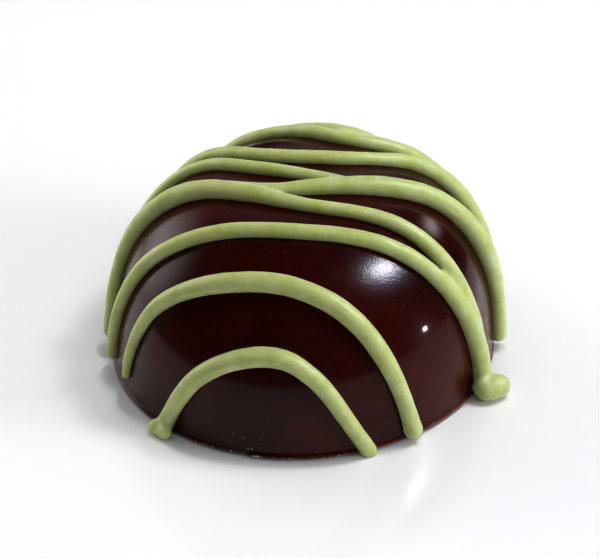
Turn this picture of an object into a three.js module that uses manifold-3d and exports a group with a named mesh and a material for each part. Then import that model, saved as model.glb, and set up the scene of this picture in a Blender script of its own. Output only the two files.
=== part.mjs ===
// A moulded chocolate praline: a solid dark half dome, with threads of pale green icing piped to
// and fro across it. The icing has set onto the chocolate, so the two are one solid.
//
// Millimetres, +Z up. The origin is the middle of the flat base. +X is to the right and +Y to the
// back, seen from the side where the shortest thread stands as a low arch.

import * as THREE from 'three';
import { mergeVertices } from 'three/addons/utils/BufferGeometryUtils.js';
import Module from 'manifold-3d';

// The dome as it leaves its mould. A fullness of 2 would make its side an ellipse, and more makes
// the shoulders squarer. The plan is a slight oval: longer, by the share given, towards the back
// right and the front left, and shorter across that.
const BASE_RADIUS = 15;
const DOME_HEIGHT = 15.8;
const FULLNESS = 2.7;
const OVAL = 0.0245;

// The sharp rim stands a little over the base, with a bevel under it where the base was levelled.
const RIM_HEIGHT = 0.3;
const BEVEL_WIDTH = 0.45;

// How finely the dome and the threads are divided.
const DOME_SIDES = 48;
const DOME_RINGS = 10;
const THREAD_SIDES = 8;
const THREAD_STEP = 1.7;
const END_STEPS = 3;
const DROP_SIDES = 12;
const DROP_RINGS = 8;

// A block under the base that cuts the icing which ran down there flat, level with the base.
const CUTTER_SPAN = 60;
const CUTTER_DEPTH = 6;

// Points closer than this are one point.
const SAME_POINT = 1e-4;

// Half of the way between a stop's two neighbours is how fast the curve passes the stop.
const CURVE_TENSION = 0.5;

const QUARTER_TURN = Math.PI / 2;

// The threads, from the front to the back. Each runs from its left end to its right end through
// stops of [lean right, lean back, width]: the leans are degrees from straight up, seen from the
// middle of the base, and the width is in mm. The rise is how high the thread's middle line lies
// over the chocolate, as a share of the width there.
const THREADS = [
  // Low arch.
  {
    rise: 0.3,
    stops: [
      [-67, -65, 1.4],
      [-54, -62, 1.25],
      [-33, -57, 1.4],
      [-10, -57, 1.5],
      [4, -63, 1.35],
      [21, -77, 1.2],
      [33, -84, 1.2],
    ],
  },
  // Wide arch, thin at its left foot.
  {
    rise: 0.3,
    stops: [
      [-77, -34, 0.45],
      [-55, -32, 0.65],
      [-42, -32, 1.05],
      [-19, -36, 1.5],
      [-1, -40, 1.5],
      [17, -48, 1.5],
      [42, -66, 1.25],
      [51, -73, 1.65],
    ],
  },
  // Band over the front shoulder.
  {
    rise: 0.32,
    stops: [
      [-86, -13, 0.9],
      [-64, -15, 0.75],
      [-46, -16, 0.9],
      [-22, -19, 1.1],
      [-2, -23, 1.1],
      [24, -25, 1.2],
      [45, -29, 1.2],
      [61, -31, 1.35],
      [80, -35, 1.4],
    ],
  },
  // Band that joins the one before at the right.
  {
    rise: 0.32,
    stops: [
      [-84, -3, 1.15],
      [-65, 5, 1.1],
      [-49, 5, 1.25],
      [-31, 1, 1.45],
      [-14, -7, 1.3],
      [2, -13, 0.95],
      [26, -16.4, 1.1],
      [43, -22.4, 1.1],
      [62, -32, 1.3],
    ],
  },
  // Branch over the top to the right.
  {
    rise: 0.32,
    stops: [
      [-30, 1, 1.2],
      [-11, -5, 0.95],
      [3, -5, 1.2],
      [21, -3, 1.5],
      [38, 0, 1.5],
      [56, 0, 1.5],
      [72, 0, 1.25],
      [88, -1, 1.4],
    ],
  },
  // Thin thread that sinks into the branch.
  {
    rise: 0.3,
    stops: [
      [-82, 22, 1.2],
      [-67, 24, 1.1],
      [-51, 21.5, 0.95],
      [-38, 19.5, 0.9],
      [-27, 14.5, 0.95],
      [-15, 7, 1],
      [-1, 2, 0.95],
      [14, -4, 1.1],
    ],
  },
  // Thread behind the top.
  {
    rise: 0.3,
    stops: [
      [-80, 40, 1.2],
      [-62, 39, 1.1],
      [-46, 35, 1],
      [-30, 26, 1],
      [-13, 13.7, 1.05],
      [6, 10.7, 1.05],
      [19, 12, 1],
      [32, 17, 1.2],
      [47, 20, 1.4],
      [65, 19, 1.3],
      [84, 23, 1.2],
    ],
  },
  // Thread that meets the one before at the right.
  {
    rise: 0.34,
    stops: [
      [-66, 60, 1.2],
      [-51, 57, 1.1],
      [-35, 50, 1.1],
      [-20, 40, 1.1],
      [-8, 35, 1],
      [1, 29, 1.1],
      [10, 24, 1.05],
      [21, 24, 1.1],
      [33, 28, 1.15],
      [48, 33, 1.3],
      [64, 40, 1.1],
      [76, 46, 1.2],
    ],
  },
  // Wide arch at the back.
  {
    rise: 0.26,
    stops: [
      [-45, 77, 1.35],
      [-32, 66, 1.1],
      [-18, 53, 1.2],
      [-4, 41, 1.3],
      [8, 37, 1.3],
      [19, 41, 1.2],
      [30, 53, 1.1],
      [40, 67, 1.15],
      [46, 77, 1.4],
    ],
  },
  // Low arch at the back.
  {
    rise: 0.3,
    stops: [
      [-28, 86, 1.4],
      [-21, 74, 1.2],
      [-10, 64, 1.4],
      [4, 60, 1.5],
      [16, 66, 1.35],
      [23, 76, 1.2],
      [29, 86, 1.3],
    ],
  },
];

// Drops where a thread's end ran out at the foot. Their middles lie at a lean right, a lean back
// and a lift off the chocolate, and the rest are their half sizes.
const DROPS = [
  { right: -61, back: -63, lift: 0.8, outwards: 1, sideways: 0.8, upwards: 0.7 },
  { right: 79.5, back: -34, lift: 1.15, outwards: 1.45, sideways: 1.1, upwards: 1.05 },
];

const CHOCOLATE = { color: 0x2e0e0b, roughness: 0.16, metalness: 0 };

const wasm = await Module();
wasm.setup();

// A spot over the chocolate, from its two leans in degrees and how far it lies off the skin.
function overDome(right, back, lift) {
  const lean = THREE.MathUtils.degToRad(Math.hypot(right, back));
  const bearing = Math.atan2(back, right);
  const outShare = Math.sin(lean) / (BASE_RADIUS + lift);
  const upShare = Math.abs(Math.cos(lean)) / (DOME_HEIGHT + lift);
  const reach = (outShare ** FULLNESS + upShare ** FULLNESS) ** (-1 / FULLNESS);
  const x = reach * Math.sin(lean) * Math.cos(bearing);
  const y = reach * Math.sin(lean) * Math.sin(bearing);
  return new THREE.Vector3(x + OVAL * y, y + OVAL * x, reach * Math.cos(lean));
}

// The middle line of one thread. Its stops are joined by one smooth curve in leans and width.
class MiddleLine extends THREE.Curve {
  constructor({ stops, rise }) {
    super();
    const points = stops.map((stop) => new THREE.Vector3(...stop));
    this.leans = new THREE.CatmullRomCurve3(points, false, 'catmullrom', CURVE_TENSION);
    this.rise = rise;
  }

  getPoint(t) {
    const { x: right, y: back, z: width } = this.leans.getPoint(t);
    return overDome(right, back, this.rise * width);
  }

  widthAt(share) {
    return this.leans.getPoint(this.getUtoTmapping(share)).z;
  }
}

// Turns a closed geometry into a solid that can be joined and cut: shared corners are merged, and
// the triangles that shrink to a line at the poles are left out.
function toSolid(geometry) {
  geometry.deleteAttribute('normal');
  geometry.deleteAttribute('uv');
  const merged = mergeVertices(geometry, SAME_POINT);
  const corners = merged.getIndex().array;
  const kept = [];
  for (let i = 0; i < corners.length; i += 3) {
    const [a, b, c] = corners.slice(i, i + 3);
    if (a !== b && b !== c && c !== a) {
      kept.push(a, b, c);
    }
  }
  return new wasm.Manifold(new wasm.Mesh({
    numProp: 3,
    vertProperties: merged.getAttribute('position').array,
    triVerts: Uint32Array.from(kept),
  }));
}

// Turns a solid back into a geometry.
function toGeometry(solid) {
  const { vertProperties, triVerts } = solid.getMesh();
  const geometry = new THREE.BufferGeometry();
  geometry.setAttribute('position', new THREE.BufferAttribute(vertProperties, 3));
  geometry.setIndex(new THREE.BufferAttribute(triVerts, 1));
  geometry.computeVertexNormals();
  return geometry;
}

// Moves every corner of a geometry to where `place` puts it.
function reshape(geometry, place) {
  const position = geometry.getAttribute('position');
  const corner = new THREE.Vector3();
  for (let i = 0; i < position.count; i += 1) {
    corner.fromBufferAttribute(position, i);
    const moved = place(corner);
    position.setXYZ(i, moved.x, moved.y, moved.z);
  }
  return geometry;
}

// The chocolate: a turned profile from the base's middle, round the bevel and the rim, to the top.
function makeDome() {
  const profile = [
    new THREE.Vector2(0, 0),
    new THREE.Vector2(BASE_RADIUS - BEVEL_WIDTH, 0),
  ];
  const rimLean = THREE.MathUtils.radToDeg(Math.atan2(BASE_RADIUS, RIM_HEIGHT));
  for (let ring = DOME_RINGS; ring > 0; ring -= 1) {
    const { x: radius, z: height } = overDome((rimLean * ring) / DOME_RINGS, 0, 0);
    profile.push(new THREE.Vector2(radius, height));
  }
  profile.push(new THREE.Vector2(0, DOME_HEIGHT));
  const turned = new THREE.LatheGeometry(profile, DOME_SIDES).rotateX(QUARTER_TURN);
  return toSolid(reshape(turned, ({ x, y, z }) => new THREE.Vector3(x + OVAL * y, y + OVAL * x, z)));
}

// Half the outline of a thread pulled straight, as [radius, place along it]: a round end, the run
// between the ends with the thread's own widths, and the other round end.
function threadProfile(line, length) {
  const startRadius = line.widthAt(0) / 2;
  const endRadius = line.widthAt(1) / 2;
  const start = [];
  const end = [];
  for (let step = 0; step < END_STEPS; step += 1) {
    const angle = (step / END_STEPS) * QUARTER_TURN;
    const inwards = 1 - Math.cos(angle);
    start.push(new THREE.Vector2(startRadius * Math.sin(angle), startRadius * inwards));
    end.unshift(new THREE.Vector2(endRadius * Math.sin(angle), length - endRadius * inwards));
  }
  const run = length - startRadius - endRadius;
  const steps = Math.ceil(run / THREAD_STEP);
  const middle = [];
  for (let step = 0; step <= steps; step += 1) {
    const along = startRadius + (run * step) / steps;
    middle.push(new THREE.Vector2(line.widthAt(along / length) / 2, along));
  }
  return [...start, ...middle, ...end];
}

// A thread: it is turned straight and then bent along its middle line over the dome.
function makeThread(thread) {
  const line = new MiddleLine(thread);
  const length = line.getLength();
  const straight = new THREE.LatheGeometry(threadProfile(line, length), THREAD_SIDES);
  return toSolid(reshape(straight, (corner) => {
    const share = THREE.MathUtils.clamp(corner.y / length, 0, 1);
    const middle = line.getPointAt(share);
    const forwards = line.getTangentAt(share);
    const outwards = middle.clone().projectOnPlane(forwards).normalize();
    const sideways = forwards.clone().cross(outwards);
    return middle.addScaledVector(sideways, corner.x).addScaledVector(outwards, corner.z);
  }));
}

// A drop: a ball stretched to its three half sizes, its long way pointing out from the dome.
function makeDrop({ right, back, lift, outwards, sideways, upwards }) {
  const middle = overDome(right, back, lift);
  const ball = new THREE.SphereGeometry(1, DROP_SIDES, DROP_RINGS)
    .scale(outwards, upwards, sideways)
    .rotateX(QUARTER_TURN)
    .rotateZ(Math.atan2(middle.y, middle.x))
    .translate(middle.x, middle.y, middle.z);
  return toSolid(ball);
}

// The block that levels the underside.
function makeCutter() {
  const block = new THREE.BoxGeometry(CUTTER_SPAN, CUTTER_SPAN, CUTTER_DEPTH);
  return toSolid(block.translate(0, 0, -CUTTER_DEPTH / 2));
}

function makePraline() {
  let solid = makeDome();
  for (const thread of THREADS) {
    solid = solid.add(makeThread(thread));
  }
  for (const drop of DROPS) {
    solid = solid.add(makeDrop(drop));
  }
  const mesh = new THREE.Mesh(
    toGeometry(solid.subtract(makeCutter())),
    new THREE.MeshStandardMaterial(CHOCOLATE),
  );
  mesh.name = 'praline';
  return mesh;
}

const part = new THREE.Group();
part.add(makePraline());

export default part;
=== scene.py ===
"""Looks of a moulded chocolate praline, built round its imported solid.

The praline is a dark, glossy half dome from a polished mould, with a thin, sharp foot. Threads of
pale green icing were piped to and fro across it and have set there. The script builds both again
with a fine surface, each as a piece of its own, with the finishes of the real materials.

The scene is in metres, in the part's own frame: +Z up, the origin in the middle of the flat base,
+X to the right and +Y to the back. The classes hold their sizes in millimetres.
"""

import logging
import math
import random
from collections.abc import Callable, Mapping
from dataclasses import dataclass, field
from enum import Enum

import bpy
import numpy as np
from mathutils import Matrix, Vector, noise


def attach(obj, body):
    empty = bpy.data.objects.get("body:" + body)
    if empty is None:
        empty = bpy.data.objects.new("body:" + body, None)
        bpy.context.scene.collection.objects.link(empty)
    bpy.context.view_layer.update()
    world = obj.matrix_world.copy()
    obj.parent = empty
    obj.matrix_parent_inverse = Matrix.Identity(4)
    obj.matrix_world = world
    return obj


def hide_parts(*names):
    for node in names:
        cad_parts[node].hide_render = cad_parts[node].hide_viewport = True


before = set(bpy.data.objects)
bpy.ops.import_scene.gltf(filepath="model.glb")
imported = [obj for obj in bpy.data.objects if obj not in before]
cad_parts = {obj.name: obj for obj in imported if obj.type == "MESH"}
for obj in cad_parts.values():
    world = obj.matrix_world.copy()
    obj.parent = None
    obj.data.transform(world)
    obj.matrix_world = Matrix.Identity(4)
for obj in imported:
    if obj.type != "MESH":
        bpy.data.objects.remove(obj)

LOG = logging.getLogger("praline")
MM = 0.001
NODE = "praline"
BODY = "root"

Point = tuple[float, float, float]


def linear(hex_colour: str) -> tuple[float, float, float, float]:
    """Turns an sRGB colour into the linear one that shaders take.

    Args:
        hex_colour: The colour as "#RRGGBB".

    Returns:
        Red, green, blue and an alpha of 1.
    """
    shares = [int(hex_colour[i : i + 2], 16) / 255 for i in (1, 3, 5)]
    bent = [s / 12.92 if s <= 0.04045 else ((s + 0.055) / 1.055) ** 2.4 for s in shares]
    return (*bent, 1.0)


def add_node(
    tree: bpy.types.NodeTree,
    kind: str,
    settings: Mapping[str, object] | None = None,
    inputs: Mapping[str, object] | None = None,
    links: Mapping[str, bpy.types.NodeSocket] | None = None,
) -> bpy.types.Node:
    """Adds a node with its settings, its inputs' values and its incoming links.

    Args:
        tree: The node tree that takes it.
        kind: Blender's name of the node type.
        settings: Properties of the node, by name.
        inputs: Values of its inputs, by the input's name.
        links: Outputs of other nodes, by the name of the input that each feeds.

    Returns:
        The new node.
    """
    node = tree.nodes.new(kind)
    for name, value in (settings or {}).items():
        setattr(node, name, value)
    for name, value in (inputs or {}).items():
        node.inputs[name].default_value = value
    for name, socket in (links or {}).items():
        tree.links.new(socket, node.inputs[name])
    return node


def new_material(name: str) -> tuple[bpy.types.Material, bpy.types.NodeTree]:
    """Makes a material with an empty node tree.

    Args:
        name: The material's name.

    Returns:
        The material and its tree.
    """
    material = bpy.data.materials.new(name)
    material.use_nodes = True
    material.node_tree.nodes.clear()
    return material, material.node_tree


def colour_stops(node: bpy.types.Node, stops: tuple[tuple[float, str], ...]) -> None:
    """Sets a colour ramp's stops.

    Args:
        node: The colour ramp node.
        stops: Pairs of a position from 0 to 1 and an sRGB colour.
    """
    ramp = node.color_ramp
    while len(ramp.elements) < len(stops):
        ramp.elements.new(0.5)
    for element, (position, hex_colour) in zip(ramp.elements, stops, strict=True):
        element.position = position
        element.color = linear(hex_colour)


def new_piece(
    name: str,
    points_mm: np.ndarray,
    faces: list[tuple[int, ...]],
    material: bpy.types.Material,
) -> bpy.types.Object:
    """Makes a smooth-shaded mesh object with its place in its mesh.

    Args:
        name: The object's name.
        points_mm: The vertices, one row each, in millimetres.
        faces: The faces' vertex numbers.
        material: What it is made of.

    Returns:
        The object, linked to the scene.
    """
    mesh = bpy.data.meshes.new(name)
    mesh.from_pydata((points_mm * MM).tolist(), [], faces)
    mesh.validate()
    mesh.shade_smooth()
    mesh.materials.append(material)
    piece = bpy.data.objects.new(name, mesh)
    bpy.context.scene.collection.objects.link(piece)
    return piece


def bake_modifiers(piece: bpy.types.Object) -> None:
    """Gives an object its evaluated mesh and takes its modifiers away.

    Args:
        piece: The object, with modifiers.
    """
    graph = bpy.context.evaluated_depsgraph_get()
    mesh = bpy.data.meshes.new_from_object(piece.evaluated_get(graph))
    piece.modifiers.clear()
    old = piece.data
    piece.data = mesh
    bpy.data.meshes.remove(old)


@dataclass
class MaterialTree:
    """A material's node tree in the making, with its textures placed on the object in metres."""

    name: str
    material: bpy.types.Material = field(init=False)
    tree: bpy.types.NodeTree = field(init=False)
    place: bpy.types.NodeSocket = field(init=False)

    def __post_init__(self) -> None:
        """Makes the empty material and its texture place."""
        self.material, self.tree = new_material(self.name)
        self.place = add_node(self.tree, "ShaderNodeTexCoord").outputs["Object"]

    def mottle(
        self, size_mm: float, detail: float = 2.0, roughness: float = 0.5
    ) -> bpy.types.NodeSocket:
        """Adds an even noise.

        Args:
            size_mm: The size of its blotches in millimetres.
            detail: How many finer layers it has.
            roughness: How strong the finer layers are.

        Returns:
            Its value, about 0.5 on the average.
        """
        node = add_node(
            self.tree,
            "ShaderNodeTexNoise",
            inputs={"Scale": 1 / (size_mm * MM), "Detail": detail, "Roughness": roughness},
            links={"Vector": self.place},
        )
        return node.outputs["Fac"]

    def colours(
        self, value: bpy.types.NodeSocket, stops: tuple[tuple[float, str], ...]
    ) -> bpy.types.NodeSocket:
        """Turns a value into a colour.

        Args:
            value: What runs along the ramp.
            stops: Pairs of a position from 0 to 1 and an sRGB colour.

        Returns:
            The colour.
        """
        ramp = add_node(self.tree, "ShaderNodeValToRGB", links={"Fac": value})
        colour_stops(ramp, stops)
        return ramp.outputs["Color"]

    def blend(
        self, share: bpy.types.NodeSocket, first: bpy.types.NodeSocket, second: str
    ) -> bpy.types.NodeSocket:
        """Mixes a colour into another.

        Args:
            share: How much of the second colour there is.
            first: The colour that it goes into.
            second: The second colour in sRGB.

        Returns:
            The mixed colour.
        """
        node = add_node(
            self.tree,
            "ShaderNodeMix",
            {"data_type": "RGBA"},
            {"B": linear(second)},
            {"Factor": share, "A": first},
        )
        return node.outputs["Result"]

    def ease(
        self,
        value: bpy.types.NodeSocket,
        source: tuple[float, float],
        result: tuple[float, float] = (0.0, 1.0),
    ) -> bpy.types.NodeSocket:
        """Turns one span of a value smoothly into another.

        Args:
            value: The value.
            source: Where the span starts and ends.
            result: What its start and its end become.

        Returns:
            The new value, which stays level outside the span.
        """
        node = add_node(
            self.tree,
            "ShaderNodeMapRange",
            {"interpolation_type": "SMOOTHSTEP"},
            dict(zip(("From Min", "From Max", "To Min", "To Max"), (*source, *result), strict=True)),
            {"Value": value},
        )
        return node.outputs["Result"]

    def times(
        self, first: bpy.types.NodeSocket, second: bpy.types.NodeSocket
    ) -> bpy.types.NodeSocket:
        """Multiplies two values.

        Args:
            first: One value.
            second: The other.

        Returns:
            Their product.
        """
        node = add_node(self.tree, "ShaderNodeMath", {"operation": "MULTIPLY"})
        self.tree.links.new(first, node.inputs[0])
        self.tree.links.new(second, node.inputs[1])
        return node.outputs["Value"]

    def relief(
        self,
        height: bpy.types.NodeSocket,
        depth_mm: float,
        under: bpy.types.NodeSocket | None = None,
        share: bpy.types.NodeSocket | None = None,
    ) -> bpy.types.NodeSocket:
        """Adds a fine relief.

        Args:
            height: Its height, from 0 to 1.
            depth_mm: What a height of 1 is in millimetres.
            under: A relief that it lies on.
            share: How much of it there is from place to place, if it varies.

        Returns:
            The surface's normal.
        """
        links = {"Height": height}
        if under is not None:
            links["Normal"] = under
        if share is not None:
            links["Strength"] = share
        node = add_node(
            self.tree,
            "ShaderNodeBump",
            inputs={"Strength": 1.0, "Distance": depth_mm * MM},
            links=links,
        )
        return node.outputs["Normal"]

    def close(
        self, inputs: Mapping[str, object], links: Mapping[str, bpy.types.NodeSocket]
    ) -> bpy.types.Material:
        """Adds the shader.

        Args:
            inputs: The shader's values that are the same all over.
            links: Its colour, roughness and normals.

        Returns:
            The finished material.
        """
        shader = add_node(self.tree, "ShaderNodeBsdfPrincipled", inputs=inputs, links=links)
        add_node(self.tree, "ShaderNodeOutputMaterial", links={"Surface": shader.outputs["BSDF"]})
        return self.material


@dataclass(frozen=True)
class Ripple:
    """A smooth, uneven wave round a full turn, made of a few seeded sines."""

    seed: int
    waves: tuple[int, ...]

    def at(self, turn: np.ndarray) -> np.ndarray:
        """Gives the wave's height.

        Args:
            turn: Angles in radians.

        Returns:
            Heights from about -1 to 1, one for each angle.
        """
        draw = random.Random(self.seed)
        total = np.zeros_like(turn)
        for wave in self.waves:
            total += draw.uniform(0.4, 1.0) * np.sin(wave * turn + draw.uniform(0, math.tau))
        return total / len(self.waves)


@dataclass(frozen=True)
class DomeForm:
    """The chocolate's outer form, in millimetres, as its mould gives it."""

    base_radius: float = 15.0
    height: float = 15.8
    fullness: float = 2.7
    oval: float = 0.0245

    def round_side(self, leans: np.ndarray, lift: np.ndarray | float = 0.0) -> np.ndarray:
        """Finds spots on the side before its plan is made oval.

        Args:
            leans: Leans from straight up, in degrees.
            lift: How far off the skin, in millimetres.

        Returns:
            One row of radius and height in millimetres for each lean.
        """
        lean = np.radians(leans)
        out_share = np.sin(lean) / (self.base_radius + lift)
        up_share = np.abs(np.cos(lean)) / (self.height + lift)
        reach = (out_share**self.fullness + up_share**self.fullness) ** (-1 / self.fullness)
        return np.stack([reach * np.sin(lean), reach * np.cos(lean)], -1)

    def over(self, right: np.ndarray, back: np.ndarray, lift: np.ndarray | float) -> np.ndarray:
        """Finds spots over the chocolate.

        Args:
            right: Leans to the right from straight up, in degrees.
            back: Leans to the back, in degrees.
            lift: How far off the skin, in millimetres.

        Returns:
            One row of x, y and z in millimetres for each spot.
        """
        side = self.round_side(np.hypot(right, back), lift)
        bearing = np.arctan2(back, right)
        out, up = side[..., 0], side[..., 1]
        return self.bend_oval(np.stack([out * np.cos(bearing), out * np.sin(bearing), up], -1))

    def bend_oval(self, points: np.ndarray) -> np.ndarray:
        """Makes the round plan slightly oval.

        Args:
            points: Rows of x, y and z.

        Returns:
            The same rows, stretched towards the back right and front left.
        """
        bent = points.copy()
        bent[..., 0] += self.oval * points[..., 1]
        bent[..., 1] += self.oval * points[..., 0]
        return bent


@dataclass(frozen=True)
class DarkChocolate:
    """Tempered dark chocolate from a polished mould.

    The mould leaves a mirror-like skin over a deep red-brown. Under it a softer gloss spreads each
    lamp's reflection into a halo, which fine grain breaks up on the upper right, where the skin was
    rubbed. The thin lip of the foot is painted a lighter orange-brown, partly its own tone and
    partly painted glow of the light that comes through it, painted strongest on the lit right side.
    """

    name: str = "dark_chocolate_moulded"
    body_dark: str = "#350904"
    body_warm: str = "#481008"
    # painted light: the lip is painted lighter orange-brown, partly its own tone and partly painted
    # glow of light coming through it
    lip_tone_and_glow: str = "#74452A"
    ior: float = 1.46
    skin_level: float = 0.2
    skin_roughness: float = 0.29
    roughness_spread: float = 0.04
    gloss_weight: float = 0.55
    gloss_roughness: float = 0.05
    cloud_mm: float = 9.0
    cloud_span: tuple[float, float] = (0.35, 0.65)
    detail: float = 3.0
    fine_share: float = 0.6
    # The real grain is finer. It is drawn as coarse as it needs to be to show.
    grain_mm: float = 0.14
    grain_depth_mm: float = 0.014
    rubbed_spot_mm: Point = (6.1, -8.4, 13.1)
    rubbed_core_mm: float = 1.5
    rubbed_reach_mm: float = 4.5
    polished_share: float = 0.15
    scuff_mm: float = 0.9
    scuff_depth_mm: float = 0.002
    scuff_span: tuple[float, float] = (0.3, 0.7)
    lip_from_mm: float = 0.32
    lip_to_mm: float = 0.52
    # painted light: x places where the lip's painted glow goes from a quarter strength on the shaded
    # left to full on the lit right
    shaded_side_x_mm: float = -4.0
    lit_side_x_mm: float = 9.0
    shaded_side_share: float = 0.25

    def make(self) -> bpy.types.Material:
        """Builds the material.

        Returns:
            The material.
        """
        skin = MaterialTree(self.name)
        clouds = skin.mottle(self.cloud_mm, self.detail)
        body = skin.colours(
            clouds, tuple(zip(self.cloud_span, (self.body_dark, self.body_warm), strict=True))
        )
        axes = add_node(skin.tree, "ShaderNodeSeparateXYZ", links={"Vector": skin.place})
        in_lip = skin.ease(
            axes.outputs["Z"], (self.lip_from_mm * MM, self.lip_to_mm * MM), (1.0, 0.0)
        )
        # painted light: the lip's painted glow grows from the shaded left to the lit right
        lit_side_glow = skin.ease(
            axes.outputs["X"],
            (self.shaded_side_x_mm * MM, self.lit_side_x_mm * MM),
            (self.shaded_side_share, 1.0),
        )
        # the lip band gets its own lighter tone and a painted glow of light through it
        colour = skin.blend(skin.times(in_lip, lit_side_glow), body, self.lip_tone_and_glow)
        scuffs = skin.mottle(self.scuff_mm, self.detail, self.fine_share)
        low = self.skin_roughness - self.roughness_spread
        high = self.skin_roughness + self.roughness_spread
        roughness = skin.ease(scuffs, self.scuff_span, (low, high))
        scuffed = skin.relief(scuffs, self.scuff_depth_mm)
        away = add_node(
            skin.tree,
            "ShaderNodeVectorMath",
            {"operation": "DISTANCE"},
            links={"Vector": skin.place},
        )
        away.inputs[1].default_value = Vector(self.rubbed_spot_mm) * MM
        rubbed = skin.ease(
            away.outputs["Value"],
            (self.rubbed_core_mm * MM, self.rubbed_reach_mm * MM),
            (1.0, self.polished_share),
        )
        grain = skin.mottle(self.grain_mm, self.detail, self.fine_share)
        grained = skin.relief(grain, self.grain_depth_mm, scuffed, rubbed)
        return skin.close(
            {
                "IOR": self.ior,
                "Specular IOR Level": self.skin_level,
                "Coat Weight": self.gloss_weight,
                "Coat Roughness": self.gloss_roughness,
                "Coat IOR": self.ior,
            },
            {
                "Base Color": colour,
                "Roughness": roughness,
                "Normal": grained,
                "Coat Normal": grained,
            },
        )


@dataclass(frozen=True)
class PistachioIcing:
    """Coloured cocoa butter icing, piped warm and set with a waxy skin.

    Light goes a little way into it, so its shaded sides stay a warm, saturated yellow-green. Its
    fine waxy skin gives the lit sides a pale bloom and soft, narrow streaks of light.
    """

    name: str = "cocoa_butter_icing_piped"
    pale: str = "#C8CDA0"
    deep: str = "#B2BB72"
    ior: float = 1.46
    skin_roughness: float = 0.55
    gloss_roughness: float = 0.36
    gloss_weight: float = 0.45
    bloom_weight: float = 0.4
    bloom_roughness: float = 0.35
    bloom_tint: str = "#FFFFF2"
    light_reach: Point = (1.0, 0.95, 0.22)
    depth_mm: float = 0.6
    depth_weight: float = 0.6
    cloud_mm: float = 1.5
    cloud_span: tuple[float, float] = (0.3, 0.7)
    cloud_detail: float = 5.0
    cloud_fine_share: float = 0.7
    lump_mm: float = 0.6
    lump_depth_mm: float = 0.018
    # The real grain is finer. It is drawn as coarse as it needs to be to show.
    grain_mm: float = 0.14
    grain_depth_mm: float = 0.026
    grain_detail: float = 2.0
    grain_fine_share: float = 0.6
    pit_mm: float = 0.8
    pit_depth_mm: float = 0.02
    pit_edge: tuple[float, float] = (0.04, 0.14)

    def make(self) -> bpy.types.Material:
        """Builds the material.

        Returns:
            The material.
        """
        skin = MaterialTree(self.name)
        clouds = skin.mottle(self.cloud_mm, self.cloud_detail, self.cloud_fine_share)
        body = skin.colours(clouds, tuple(zip(self.cloud_span, (self.deep, self.pale), strict=True)))
        cells = add_node(
            skin.tree,
            "ShaderNodeTexVoronoi",
            {"feature": "F1"},
            {"Scale": 1 / (self.pit_mm * MM)},
            {"Vector": skin.place},
        )
        pits = skin.ease(cells.outputs["Distance"], self.pit_edge)
        pitted = skin.relief(pits, self.pit_depth_mm)
        lumpy = skin.relief(skin.mottle(self.lump_mm), self.lump_depth_mm, pitted)
        grain = skin.mottle(self.grain_mm, self.grain_detail, self.grain_fine_share)
        grained = skin.relief(grain, self.grain_depth_mm, lumpy)
        return skin.close(
            {
                "IOR": self.ior,
                "Roughness": self.skin_roughness,
                "Subsurface Weight": self.depth_weight,
                "Subsurface Radius": self.light_reach,
                "Subsurface Scale": self.depth_mm * MM,
                "Coat Weight": self.gloss_weight,
                "Coat Roughness": self.gloss_roughness,
                "Coat IOR": self.ior,
                "Sheen Weight": self.bloom_weight,
                "Sheen Roughness": self.bloom_roughness,
                "Sheen Tint": linear(self.bloom_tint),
            },
            {"Base Color": body, "Normal": grained, "Coat Normal": grained},
        )


class CrumbKind(Enum):
    """What a crumb is made of, with its sRGB colour."""

    SUGAR = "#C2AA98"
    COCOA = "#A67C6A"


@dataclass(frozen=True)
class CrumbDust:
    """Dry crumbs of sugar or cocoa, broken off as the sweet was packed: dull, rough specks."""

    kind: CrumbKind
    # painted highlights: white glints mottled over the specks
    painted_glint: str = "#FFFFFF"
    roughness: float = 0.75
    mottle_mm: float = 0.06
    mottle_detail: float = 1.0
    mottle_span: tuple[float, float] = (0.3, 0.9)

    def make(self) -> bpy.types.Material:
        """Builds the material.

        Returns:
            The material.
        """
        skin = MaterialTree(f"{self.kind.name.lower()}_crumb_dry")
        # painted highlights: the specks' own colour mottled with white glints
        pale = skin.mottle(self.mottle_mm, self.mottle_detail)
        stops = tuple(zip(self.mottle_span, (self.kind.value, self.painted_glint), strict=True))
        colour = skin.colours(pale, stops)
        return skin.close({"Roughness": self.roughness}, {"Base Color": colour})


@dataclass(frozen=True)
class Lip:
    """How far the dome's foot sticks out, which is uneven round it.

    Its stops are a bearing in degrees, 0 to the right and -90 to the front, and a reach in
    millimetres. The flare widens the lowest part of the wall and the edge the thin lip alone.
    """

    flare: tuple[tuple[float, float], ...] = (
        (-180, 0.05), (-140, 0.1), (-120, 0.12), (-104, 0.3), (-80, 0.28), (-60, 0.18), (-39, 0.07),
        (0, 0.0), (100, 0.0),
    )
    edge: tuple[tuple[float, float], ...] = (
        (-180, 0.14), (-120, 0.15), (-110, 0.06), (-107, -0.1), (-104, 0.15), (-80, 0.12),
        (-30, 0.12), (90, 0.1),
    )
    ripple: Ripple = Ripple(7, (13, 29, 53, 71, 97))
    ripple_height: float = 0.03

    def flare_at(self, bearing: np.ndarray) -> np.ndarray:
        """Gives the flare's reaches in millimetres at bearings in radians."""
        places, reaches = zip(*self.flare, strict=True)
        return np.interp(np.degrees(bearing), places, reaches, period=360)

    def edge_at(self, bearing: np.ndarray) -> np.ndarray:
        """Gives the thin lip's reach beyond the flare.

        Args:
            bearing: Bearings in radians.

        Returns:
            Reaches in millimetres.
        """
        places, reaches = zip(*self.edge, strict=True)
        even = np.interp(np.degrees(bearing), places, reaches, period=360)
        return even + self.ripple_height * self.ripple.at(bearing)


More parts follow.
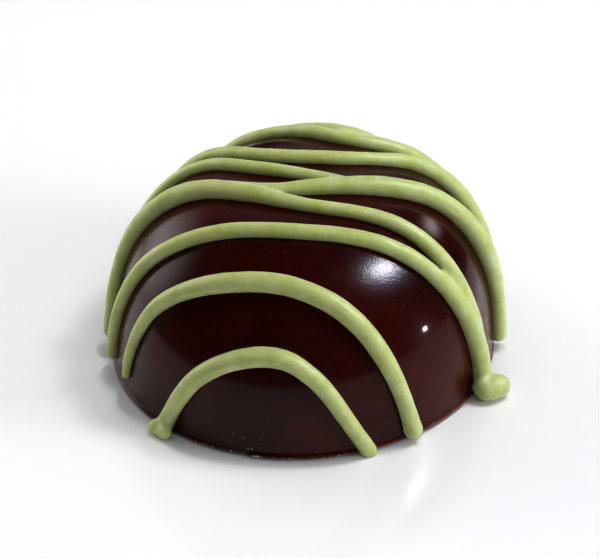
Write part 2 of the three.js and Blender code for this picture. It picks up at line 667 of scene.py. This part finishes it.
@dataclass
class ChocolateDome:
    """The moulded half dome with its sharp, slightly uneven foot."""

    form: DomeForm
    lip: Lip = field(default_factory=Lip)
    finish: DarkChocolate = field(default_factory=DarkChocolate)
    rim_height: float = 0.3
    rim_thickness: float = 0.1
    rim_share_below: float = 0.9
    bevel_width: float = 1.4
    bevel_rise: float = 0.08
    bevel_edge_share: float = 0.3
    bevel_flare_share: float = 0.7
    base_rings: int = 4
    edge_height: float = 0.4
    flare_height: float = 4.0
    sides: int = 480
    rings: int = 150
    swell: float = 0.008
    swell_mm: float = 5.0

    def profile(self) -> np.ndarray:
        """Lists the outline from the base to the top, without the two poles.

        Returns:
            Rows of radius, height, and the shares of the lip's edge and of its flare.
        """
        foot = self.form.base_radius
        base = foot - self.bevel_width
        inner = np.linspace(1 / self.base_rings, 1, self.base_rings)
        rows = [(base * share, 0.0, 0.0, 0.0) for share in inner]
        bevel = base + self.bevel_width / 2
        below = foot - self.rim_thickness
        rows += [
            (bevel, self.bevel_rise, self.bevel_edge_share, self.bevel_flare_share),
            (below, self.rim_height - self.rim_thickness, self.rim_share_below, 1.0),
            (foot, self.rim_height - self.rim_thickness / 2, 1.0, 1.0),
        ]
        lean = np.degrees(np.arctan2(foot, self.rim_height))
        wall = self.form.round_side(np.linspace(lean, 0.0, self.rings, endpoint=False))
        for radius, height in wall:
            near_edge = max(0.0, 1 - (height - self.rim_height) / self.edge_height)
            rows.append((radius, height, near_edge**2, self.flare_share(height)))
        return np.array(rows)

    def flare_share(self, height: float) -> float:
        """Gives the share of the foot's flare that the wall has at a height in millimetres."""
        return max(0.0, 1 - (height - self.rim_height) / self.flare_height) ** 2

    def mesh(self) -> tuple[np.ndarray, list[tuple[int, ...]]]:
        """Turns the outline round the axis.

        Returns:
            Points in millimetres and faces.
        """
        rows = self.profile()
        turn = np.arange(self.sides) * math.tau / self.sides
        radii = (
            rows[:, 0:1]
            + rows[:, 2:3] * self.lip.edge_at(turn)
            + rows[:, 3:4] * self.lip.flare_at(turn)
        )
        heights = np.broadcast_to(rows[:, 1:2], radii.shape)
        rings = np.stack([radii * np.cos(turn), radii * np.sin(turn), heights], -1)
        points = np.concatenate(
            [np.zeros((1, 3)), rings.reshape(-1, 3), np.array([[0, 0, self.form.height]])]
        )
        faces: list[tuple[int, ...]] = []
        top = len(points) - 1
        for side in range(self.sides):
            after = (side + 1) % self.sides
            faces.append((0, 1 + after, 1 + side))
            faces.append((top, top - self.sides + side, top - self.sides + after))
            for row in range(len(rows) - 1):
                low = 1 + row * self.sides
                high = low + self.sides
                faces.append((low + side, low + after, high + after, high + side))
        return self.form.bend_oval(points), faces

    def uneven(self, points: np.ndarray) -> np.ndarray:
        """Gives the skin the faint swells that bend its reflections.

        Args:
            points: The dome's points in millimetres.

        Returns:
            The same points, moved along their way out from the middle by a few microns.
        """
        moved = points.copy()
        for row, point in enumerate(points):
            length = np.linalg.norm(point)
            if point[2] > self.rim_height + self.edge_height:
                swell = noise.noise(Vector(point / self.swell_mm)) * self.swell
                moved[row] += point / length * swell
        return moved

    def build(self) -> bpy.types.Object:
        """Makes the piece and rides it on the part.

        Returns:
            The piece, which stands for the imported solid.
        """
        points, faces = self.mesh()
        piece = new_piece("chocolate_dome", self.uneven(points), faces, self.finish.make())
        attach(piece, BODY)
        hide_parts(NODE)
        return piece


@dataclass(frozen=True)
class Thread:
    """A piped thread, from its left end to its right end.

    Its stops are a lean right and a lean back in degrees, and the width there in millimetres. Its
    middle line lies over the skin by its rise, a share of the width. The settling is what smoothing
    takes off its radius again. A tip's first section has a small share of the way to full width.
    """

    rise: float
    stops: tuple[Point, ...]
    settling: float = 0.07
    fine_rows: int = 1500
    tip_share: float = 0.02

    def spline(self, count: int) -> np.ndarray:
        """Joins the stops by one smooth curve.

        Args:
            count: How many rows to make.

        Returns:
            Rows of lean right, lean back and width.
        """
        stops = np.array(self.stops)
        padded = np.vstack([2 * stops[0] - stops[1], stops, 2 * stops[-1] - stops[-2]])
        along = np.linspace(0, len(stops) - 1, count)
        span = np.minimum(along.astype(int), len(stops) - 2)
        share = (along - span)[:, None]
        before, start, end, after = (padded[span + i] for i in range(4))
        speed_in = (end - before) / 2
        speed_out = (after - start) / 2
        return (
            (2 * start - 2 * end + speed_in + speed_out) * share**3
            + (-3 * start + 3 * end - 2 * speed_in - speed_out) * share**2
            + speed_in * share
            + start
        )

    def tube(
        self, form: DomeForm, step: float, sides: int, pulse: Callable[[np.ndarray], np.ndarray]
    ) -> tuple[np.ndarray, list[tuple[int, ...]]]:
        """Sweeps a round section with round ends along the thread.

        Args:
            form: The dome that the thread lies on.
            step: The length between two sections, in millimetres.
            sides: Corners of a section.
            pulse: How much the width swells, by the place along the thread in millimetres.

        Returns:
            Points in millimetres and faces of a closed tube.
        """
        fine = self.spline(self.fine_rows)
        line = form.over(fine[:, 0], fine[:, 1], self.rise * fine[:, 2])
        travelled = np.r_[0, np.cumsum(np.linalg.norm(np.diff(line, axis=0), axis=1))]
        length = travelled[-1]
        along = np.linspace(0, length, int(length / step) + 2)
        middle = np.stack([np.interp(along, travelled, line[:, axis]) for axis in range(3)], -1)
        radius = np.interp(along, travelled, fine[:, 2]) / 2 * (1 + pulse(along)) + self.settling
        for reach in (along / radius[0], (length - along) / radius[-1]):
            radius = radius * np.sqrt(1 - (1 - np.clip(reach, self.tip_share, 1)) ** 2)
        forwards = np.gradient(middle, axis=0)
        forwards /= np.linalg.norm(forwards, axis=1, keepdims=True)
        outwards = middle - (middle * forwards).sum(1, keepdims=True) * forwards
        outwards /= np.linalg.norm(outwards, axis=1, keepdims=True)
        sideways = np.cross(forwards, outwards)
        turn = np.arange(sides) * math.tau / sides
        ring = (
            np.cos(turn)[None, :, None] * sideways[:, None]
            + np.sin(turn)[None, :, None] * outwards[:, None]
        )
        points = (middle[:, None] + radius[:, None, None] * ring).reshape(-1, 3)
        faces: list[tuple[int, ...]] = []
        for section in range(len(along) - 1):
            for side in range(sides):
                near = section * sides
                after = (side + 1) % sides
                faces.append((near + side, near + after, near + sides + after, near + sides + side))
        faces.append(tuple(range(sides - 1, -1, -1)))
        faces.append(tuple(range(len(points) - sides, len(points))))
        return points, faces


@dataclass(frozen=True)
class Drop:
    """A drop where a thread's end ran out at the foot: its middle and three half sizes in mm."""

    middle: Point
    outwards: float
    sideways: float
    upwards: float

    def ball(self, sides: int) -> tuple[np.ndarray, list[tuple[int, ...]]]:
        """Makes the drop.

        Args:
            sides: Corners round it.

        Returns:
            Points in millimetres and faces of a closed ball.
        """
        rings = sides // 2
        turn = np.arange(sides) * math.tau / sides
        lean = (np.arange(1, rings) * math.pi / rings)[:, None]
        out = np.sin(lean)
        up = np.broadcast_to(-np.cos(lean), (rings - 1, sides))
        round_points = np.stack([out * np.cos(turn), out * np.sin(turn), up], -1).reshape(-1, 3)
        ball = np.concatenate([np.array([[0, 0, -1.0]]), round_points, np.array([[0, 0, 1.0]])])
        ball *= (self.outwards, self.sideways, self.upwards)
        bearing = math.atan2(self.middle[1], self.middle[0])
        out_x = math.cos(bearing)
        out_y = math.sin(bearing)
        axes = np.array([[out_x, out_y, 0], [-out_y, out_x, 0], [0, 0, 1.0]])
        faces: list[tuple[int, ...]] = []
        top = len(ball) - 1
        for side in range(sides):
            after = (side + 1) % sides
            faces.append((0, 1 + after, 1 + side))
            faces.append((top, top - sides + side, top - sides + after))
            for ring in range(rings - 2):
                low = 1 + ring * sides
                faces.append((low + side, low + after, low + sides + after, low + sides + side))
        return np.array(self.middle) + ball @ axes, faces


THREADS = (
    # Low arch.
    Thread(0.3, (
        (-67, -65, 1.4), (-54, -62, 1.25), (-33, -57, 1.4), (-10, -57, 1.5), (4, -63, 1.35),
        (21, -77, 1.2), (33.3, -85, 1.22),
    )),
    # Wide arch, thin at its left foot.
    Thread(0.3, (
        (-77, -34, 0.62), (-55, -32.3, 0.9), (-42, -32.2, 1.15), (-19, -36, 1.5), (-1, -40, 1.5),
        (17, -48, 1.5), (42, -66, 1.25), (51, -73, 1.65),
    )),
    # Band over the front shoulder.
    Thread(0.32, (
        (-86, -13, 0.95), (-64, -15.5, 0.93), (-46, -16.4, 1.03), (-22, -19.6, 1.12),
        (-2, -23, 1.12), (24, -24.9, 1.2), (45, -28.8, 1.27), (61, -31.6, 1.46),
        (75.5, -34.4, 1.45), (78.5, -37.5, 1.75),
    )),
    # Band that joins the one before at the right.
    Thread(0.32, (
        (-84, -3, 1.15), (-65, 4.6, 1.08), (-49, 4.4, 1.32), (-31, 0.8, 1.47), (-14, -7, 1.3),
        (2, -13.2, 0.98), (26, -16.7, 1.12), (43, -22.8, 1.26), (62, -31.6, 1.45),
    )),
    # Branch over the top to the right.
    Thread(0.32, (
        (-30, 1, 1.2), (-11, -5, 0.95), (3, -5, 1.2), (21, -3, 1.5), (38, -0.4, 1.5),
        (56, -0.9, 1.55), (72, -1.0, 1.25), (88, -1.4, 1.32),
    )),
    # Thin thread that sinks into the branch.
    Thread(0.3, (
        (-82, 22, 1.2), (-67, 24, 1.1), (-51, 21.5, 0.95), (-38, 19.5, 0.9), (-27, 14.5, 0.95),
        (-15, 7, 1), (-1, 2, 0.95), (14, -4, 1.1),
    )),
    # Thread behind the top.
    Thread(0.3, (
        (-80, 40, 1.2), (-62, 39, 1.1), (-46, 35, 1), (-30, 26, 1), (-13, 13.5, 1.05),
        (6, 10.4, 1.05), (19, 12, 1), (32, 17, 1.2), (47, 20, 1.4), (65, 19, 1.3), (84, 23, 1.2),
    )),
    # Thread that meets the one before at the right.
    Thread(0.34, (
        (-66, 60, 1.2), (-51, 57, 1.1), (-35, 50, 1.1), (-20, 40, 1.1), (-8, 35, 1), (1, 29, 1.1),
        (10, 24, 1.05), (21, 24, 1.1), (33, 28, 1.15), (48, 33, 1.3), (64, 40, 1.1), (76, 46, 1.2),
    )),
    # Wide arch at the back.
    Thread(0.26, (
        (-45, 77, 1.35), (-32, 66, 1.1), (-18, 53, 1.2), (-4, 41, 1.3), (8, 37, 1.3), (19, 41, 1.2),
        (30, 53, 1.1), (40, 67, 1.15), (46, 77, 1.4),
    )),
    # Low arch at the back.
    Thread(0.3, (
        (-28, 86, 1.4), (-21, 74, 1.2), (-10, 64, 1.4), (4, 60, 1.5), (16, 66, 1.35), (23, 76, 1.2),
        (29, 86, 1.3),
    )),
)

DROPS = (
    # The low arch's left foot, in two lobes.
    Drop((-11.55, -11.67, 0.6), 0.66, 0.66, 0.66),
    Drop((-10.91, -12.33, 0.6), 0.64, 0.64, 0.64),
    # The front band's right foot and its toe.
    Drop((14.0, -6.95, 1.15), 0.85, 0.9, 0.95),
    Drop((14.3, -7.1, 0.95), 1.0, 1.0, 0.95),
    Drop((14.8, -6.8, 0.95), 1.06, 1.06, 1.03),
    Drop((15.18, -6.66, 0.97), 1.0, 1.0, 0.96),
)


@dataclass
class IcingThreads:
    """All the piped threads, run together where they meet."""

    form: DomeForm
    threads: tuple[Thread, ...] = THREADS
    drops: tuple[Drop, ...] = DROPS
    finish: PistachioIcing = field(default_factory=PistachioIcing)
    step: float = 0.16
    sides: int = 26
    voxel: float = 0.153
    smoothing: int = 7
    smoothing_pull: float = 0.5
    pulse: float = 0.03
    pulse_mm: float = 2.6
    pulse_apart: float = 11.0
    lump: float = 0.02
    lump_mm: float = 1.1

    def swelling(self, row: int) -> Callable[[np.ndarray], np.ndarray]:
        """Gives one thread the unevenness of a hand on the piping bag.

        Args:
            row: The thread's number, which sets its own draw.

        Returns:
            A function from places along the thread to shares of its width.
        """

        def at(along: np.ndarray) -> np.ndarray:
            """Gives the swelling.

            Args:
                along: Places along the thread in millimetres.

            Returns:
                Shares of the width.
            """
            spots = [Vector((a / self.pulse_mm, self.pulse_apart * row, 0)) for a in along]
            heights = [noise.noise(spot) for spot in spots]
            return self.pulse * np.array(heights)

        return at

    def lumps(self, piece: bpy.types.Object) -> None:
        """Makes the set icing slightly lumpy and levels it at the base.

        Args:
            piece: The icing.
        """
        vertices = piece.data.vertices
        points = np.empty(len(vertices) * 3)
        normals = np.empty(len(vertices) * 3)
        vertices.foreach_get("co", points)
        piece.data.vertex_normals.foreach_get("vector", normals)
        points = points.reshape(-1, 3)
        scaled = points / (self.lump_mm * MM)
        heights = np.array([noise.noise(Vector(spot)) for spot in scaled])
        points += normals.reshape(-1, 3) * heights[:, None] * self.lump * MM
        points[:, 2] = np.maximum(points[:, 2], 0)
        vertices.foreach_set("co", points.ravel())
        piece.data.update()

    def build(self) -> bpy.types.Object:
        """Makes the piece and rides it on the part.

        Returns:
            The piece with every thread and drop.
        """
        points: list[np.ndarray] = []
        faces: list[tuple[int, ...]] = []
        solids = [
            thread.tube(self.form, self.step, self.sides, self.swelling(row))
            for row, thread in enumerate(self.threads)
        ]
        solids += [drop.ball(self.sides) for drop in self.drops]
        used = 0
        for solid_points, solid_faces in solids:
            points.append(solid_points)
            faces += [tuple(used + corner for corner in face) for face in solid_faces]
            used += len(solid_points)
        piece = new_piece("icing_threads", np.concatenate(points), faces, self.finish.make())
        remesh = piece.modifiers.new("run together", "REMESH")
        remesh.mode = "VOXEL"
        remesh.voxel_size = self.voxel * MM
        remesh.use_smooth_shade = True
        smooth = piece.modifiers.new("settle", "SMOOTH")
        smooth.iterations = self.smoothing
        smooth.factor = self.smoothing_pull
        bake_modifiers(piece)
        self.lumps(piece)
        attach(piece, BODY)
        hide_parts(NODE)
        return piece


@dataclass(frozen=True)
class CrumbCluster:
    """Crumbs that stick to the edge of the foot close together, by bearing in degrees."""

    bearing: float
    spread: float
    count: int
    radius: float


@dataclass
class Crumbs:
    """Specks of one kind on the skin and along the edge of the foot.

    A spot on the skin is a lean right, a lean back and a half size in millimetres. The climb is how
    far below and above the rim a speck lies, and the sizes are the shares of its half size.
    """

    dome: ChocolateDome
    kind: CrumbKind
    spots: tuple[Point, ...]
    clusters: tuple[CrumbCluster, ...]
    seed: int
    climb: tuple[float, float] = (-0.03, 0.07)
    sizes: tuple[float, float] = (0.6, 1.2)

    def places(self, draw: random.Random) -> list[tuple[np.ndarray, float]]:
        """Lists where the specks lie.

        Args:
            draw: The seeded source of their unevenness.

        Returns:
            Pairs of a middle in millimetres and a half size.
        """
        found: list[tuple[np.ndarray, float]] = []
        for right, back, radius in self.spots:
            spot = self.dome.form.over(np.array([right]), np.array([back]), radius / 2)[0]
            bearing = np.arctan2(spot[1:2], spot[0:1])
            flare = self.dome.lip.flare_at(bearing)[0] * self.dome.flare_share(spot[2])
            spot[:2] *= 1 + flare / np.linalg.norm(spot[:2])
            found.append((spot, radius))
        for cluster in self.clusters:
            for _ in range(cluster.count):
                turn = math.radians(cluster.bearing + draw.uniform(-1, 1) * cluster.spread)
                bearing = np.array([turn])
                reach = self.dome.lip.edge_at(bearing) + self.dome.lip.flare_at(bearing)
                radius = self.dome.form.base_radius + reach[0] + cluster.radius / 3
                height = self.dome.rim_height + draw.uniform(*self.climb)
                spot = np.array([radius * math.cos(turn), radius * math.sin(turn), height])
                size = cluster.radius * draw.uniform(*self.sizes)
                found.append((self.dome.form.bend_oval(spot), size))
        return found

    def speck(self, middle: np.ndarray, radius: float, draw: random.Random) -> np.ndarray:
        """Makes the points of one uneven speck.

        Args:
            middle: Where it lies, in millimetres.
            radius: Its half size in millimetres.
            draw: The seeded source of its unevenness.

        Returns:
            Six points, one each way along each axis.
        """
        ways = np.concatenate([np.eye(3), -np.eye(3)])
        sizes = np.array([draw.uniform(*self.sizes) for _ in ways])
        return middle + ways * sizes[:, None] * radius

    def build(self) -> bpy.types.Object:
        """Makes the piece and rides it on the part.

        Returns:
            The piece with every speck of this kind.
        """
        draw = random.Random(self.seed)
        corners = (
            (0, 1, 2), (1, 3, 2), (3, 4, 2), (4, 0, 2), (1, 0, 5), (3, 1, 5), (4, 3, 5), (0, 4, 5),
        )
        points: list[np.ndarray] = []
        faces: list[tuple[int, ...]] = []
        for middle, radius in self.places(draw):
            faces += [tuple(6 * len(points) + corner for corner in face) for face in corners]
            points.append(self.speck(middle, radius, draw))
        name = f"{self.kind.name.lower()}_crumbs"
        piece = new_piece(name, np.concatenate(points), faces, CrumbDust(self.kind).make())
        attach(piece, BODY)
        return piece


SUGAR_SPOTS = ((-4.7, -29.1, 0.045), (-44.4, -63.4, 0.035), (41.5, -78.3, 0.06))
SUGAR_CLUSTERS = (
    CrumbCluster(-118.0, 2.0, 3, 0.07),
    CrumbCluster(-102.5, 0.9, 4, 0.1),
    CrumbCluster(-92.0, 1.2, 3, 0.07),
    CrumbCluster(-79.5, 1.4, 3, 0.08),
)
COCOA_SPOTS = (
    (-28.2, -77.9, 0.085), (-24.1, -80.1, 0.08), (-16.7, -81.8, 0.08), (-22.8, -83.9, 0.075),
    (-21.0, -84.2, 0.08), (-25.1, -85.0, 0.075), (30.8, -39.2, 0.05),
)
COCOA_CLUSTERS = (
    CrumbCluster(-119.0, 3.0, 5, 0.08),
    CrumbCluster(-109.5, 1.6, 5, 0.085),
    CrumbCluster(-102.5, 1.6, 4, 0.09),
    CrumbCluster(-93.0, 4.5, 7, 0.07),
    CrumbCluster(-80.0, 4.0, 6, 0.07),
    CrumbCluster(-62.0, 7.0, 5, 0.06),
)


@dataclass(frozen=True)
class PolishedAcrylic:
    """White cast acrylic, polished where the praline stands and duller further out.

    It is an even white. Close by, it mirrors the praline and the lamps softly, and further out it
    is too dull to.
    """

    name: str = "white_acrylic_polished"
    colour: str = "#F3F3F4"
    ior: float = 1.48
    roughness: float = 0.13
    dull_roughness: float = 0.55
    polished_mm: float = 45.0
    dull_mm: float = 110.0

    def make(self) -> bpy.types.Material:
        """Builds the material.

        Returns:
            The material.
        """
        skin = MaterialTree(self.name)
        away = add_node(
            skin.tree,
            "ShaderNodeVectorMath",
            {"operation": "LENGTH"},
            links={"Vector": skin.place},
        )
        roughness = skin.ease(
            away.outputs["Value"],
            (self.polished_mm * MM, self.dull_mm * MM),
            (self.roughness, self.dull_roughness),
        )
        return skin.close(
            {"Base Color": linear(self.colour), "IOR": self.ior}, {"Roughness": roughness}
        )


class Use(Enum):
    """What a lamp is for: both, its mirror image in the gloss alone, or the shading alone."""

    BOTH = "both"
    GLOSS = "gloss"
    SHADING = "shading"


@dataclass(frozen=True)
class Softbox:
    """A diffusing lamp that faces the praline.

    Its azimuth is 0 towards the camera's side and 90 to the right. Lengths are in metres.
    """

    name: str
    azimuth: float
    elevation: float
    distance: float
    width: float
    power: float
    use: Use = Use.BOTH
    colour: str = "#FFFFFF"

    def soften(self, lamp: bpy.types.Object) -> None:
        """Lets the lamp's face fade from its middle to its edge, as light on a scrim does.

        Args:
            lamp: The lamp, in its place.
        """
        lamp.data.use_nodes = True
        tree = lamp.data.node_tree
        tree.nodes.clear()
        spot = add_node(tree, "ShaderNodeNewGeometry").outputs["Position"]
        reach = add_node(tree, "ShaderNodeVectorMath", {"operation": "DISTANCE"})
        tree.links.new(spot, reach.inputs[0])
        reach.inputs[1].default_value = lamp.location
        fade = add_node(
            tree,
            "ShaderNodeMapRange",
            {"interpolation_type": "SMOOTHSTEP"},
            {"From Max": self.width / 2, "To Min": 1.0, "To Max": 0.0},
            {"Value": reach.outputs["Value"]},
        )
        glow = add_node(tree, "ShaderNodeEmission", links={"Strength": fade.outputs["Result"]})
        add_node(tree, "ShaderNodeOutputLight", links={"Surface": glow.outputs["Emission"]})

    def build(self, target: Vector) -> bpy.types.Object:
        """Makes the lamp.

        Args:
            target: What it faces, in metres.

        Returns:
            The lamp's object.
        """
        azimuth = math.radians(self.azimuth)
        elevation = math.radians(self.elevation)
        out = math.cos(elevation)
        way = Vector((math.sin(azimuth) * out, -math.cos(azimuth) * out, math.sin(elevation)))
        data = bpy.data.lights.new(self.name, "AREA")
        data.shape = "DISK"
        data.size = self.width
        data.energy = self.power
        data.color = linear(self.colour)[:3]
        lamp = bpy.data.objects.new(self.name, data)
        bpy.context.scene.collection.objects.link(lamp)
        lamp.location = target + way * self.distance
        lamp.rotation_mode = "QUATERNION"
        lamp.rotation_quaternion = (-way).to_track_quat("-Z", "Y")
        if self.use is not Use.SHADING:
            self.soften(lamp)
        lamp.visible_camera = False
        lamp.visible_diffuse = self.use is not Use.GLOSS
        lamp.visible_glossy = self.use is not Use.SHADING
        return lamp


@dataclass
class Studio:
    """The plain pale floor, the soft lamps, the air's light and the camera."""

    target_mm: Point = (0.0, 0.0, 8.0)
    camera_elevation: float = 34.2
    camera_distance_mm: float = 400.0
    pixels_per_mm: float = 12.69
    image_width_px: int = 600
    image_height_px: int = 558
    target_px: tuple[float, float] = (304.6, 263.8)
    sensor_mm: float = 36.0
    clip_start_m: float = 0.01
    floor_radius_mm: float = 1500.0
    board_radius_mm: float = 62.0
    board_middle_mm: tuple[float, float] = (10.0, 15.0)
    floor_drop_mm: float = 0.02
    floor_sides: int = 96
    lamps: tuple[Softbox, ...] = (
        Softbox("key_softbox", 98.0, 61.0, 0.5, 0.12, 0.7, Use.SHADING),
        Softbox("key_core", 87.0, 48.5, 0.49, 0.16, 6.2, Use.GLOSS, "#F6F8FF"),
        Softbox("key_halo", 86.0, 46.5, 0.48, 0.36, 2.0, Use.GLOSS, "#86BCF5"),
        Softbox("left_card", -122.0, 12.0, 0.6, 0.87, 6.5),
        Softbox("back_card", 180.0, 34.0, 0.7, 1.1, 2.5, Use.GLOSS),
        Softbox("back_right_window", 131.0, 22.0, 0.6, 0.2, 0.65, Use.GLOSS),
        Softbox("low_spot", 77.6, -2.46, 0.3, 0.016, 0.15, Use.GLOSS),
        Softbox("overhead_spot", 125.0, 80.5, 0.6, 0.07, 0.85, Use.SHADING),
        Softbox("front_fill", 15.0, 42.0, 0.6, 0.3, 0.22, Use.SHADING),
        Softbox("right_scrim", 75.0, 12.0, 0.6, 0.25, 2.4, Use.SHADING, "#EAF2FF"),
    )
    air_colour: str = "#FFFFFF"
    air_strength: float = 0.42
    display_gamma: float = 0.7

    def build_floor(self) -> None:
        """Lays the floor just under the base: a polished board, and the dull floor round it.

        Both are the same white. The gloss of the praline mirrors the board alone.
        """
        turn = np.arange(self.floor_sides) * math.tau / self.floor_sides
        circle = np.stack([np.cos(turn), np.sin(turn), np.zeros(self.floor_sides)], -1)
        middle = np.array([*self.board_middle_mm, -self.floor_drop_mm])
        inner = middle + circle * self.board_radius_mm
        outer = middle + circle * self.floor_radius_mm
        material = PolishedAcrylic().make()
        board = new_piece("board", inner, [tuple(range(self.floor_sides))], material)
        ring = [
            (side, side + self.floor_sides, after + self.floor_sides, after)
            for side, after in enumerate([*range(1, self.floor_sides), 0])
        ]
        floor = new_piece("floor", np.concatenate([inner, outer]), ring, material)
        floor.visible_glossy = False
        floor.visible_shadow = False

    def build_air(self) -> None:
        """Fills the room with even light, which the gloss doesn't mirror."""
        world = bpy.data.worlds.new("studio_air")
        bpy.context.scene.world = world
        world.use_nodes = True
        world.node_tree.nodes.clear()
        glow = add_node(
            world.node_tree,
            "ShaderNodeBackground",
            inputs={"Color": linear(self.air_colour), "Strength": self.air_strength},
        )
        sky = {"Surface": glow.outputs["Background"]}
        add_node(world.node_tree, "ShaderNodeOutputWorld", links=sky)
        world.cycles_visibility.glossy = False

    def build_camera(self) -> None:
        """Sets the camera at the photograph's viewing angle, aimed so that the framing agrees."""
        elevation = math.radians(self.camera_elevation)
        back = Vector((0, -math.cos(elevation), math.sin(elevation)))
        up = Vector((0, math.sin(elevation), math.cos(elevation)))
        right = Vector((1, 0, 0))
        off_right = (self.target_px[0] - self.image_width_px / 2) / self.pixels_per_mm
        off_down = (self.target_px[1] - self.image_height_px / 2) / self.pixels_per_mm
        aim = Vector(self.target_mm) - right * off_right + up * off_down
        spot = Vector(self.target_mm) + back * self.camera_distance_mm
        data = bpy.data.cameras.new("camera")
        focal_px = self.pixels_per_mm * self.camera_distance_mm
        data.lens = focal_px * self.sensor_mm / self.image_width_px
        data.sensor_width = self.sensor_mm
        data.clip_start = self.clip_start_m
        camera = bpy.data.objects.new("camera", data)
        bpy.context.scene.collection.objects.link(camera)
        camera.location = spot * MM
        camera.rotation_mode = "QUATERNION"
        camera.rotation_quaternion = (aim - spot).to_track_quat("-Z", "Y")
        bpy.context.scene.camera = camera

    def build(self) -> None:
        """Makes everything round the praline."""
        self.build_floor()
        self.build_air()
        for lamp in self.lamps:
            lamp.build(Vector(self.target_mm) * MM)
        self.build_camera()
        scene = bpy.context.scene
        scene.view_settings.view_transform = "Standard"
        scene.view_settings.gamma = self.display_gamma


def main() -> None:
    """Builds the praline and the studio round it."""
    logging.basicConfig(level=logging.INFO, format="%(name)s: %(message)s")
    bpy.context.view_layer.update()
    Studio().build()
    form = DomeForm()
    dome = ChocolateDome(form)
    builders = (
        dome,
        IcingThreads(form),
        Crumbs(dome, CrumbKind.SUGAR, SUGAR_SPOTS, SUGAR_CLUSTERS, 3),
        Crumbs(dome, CrumbKind.COCOA, COCOA_SPOTS, COCOA_CLUSTERS, 5),
    )
    for builder in builders:
        piece = builder.build()
        LOG.info("%s: %d faces", piece.name, len(piece.data.polygons))


if __name__ == "__main__":
    main()
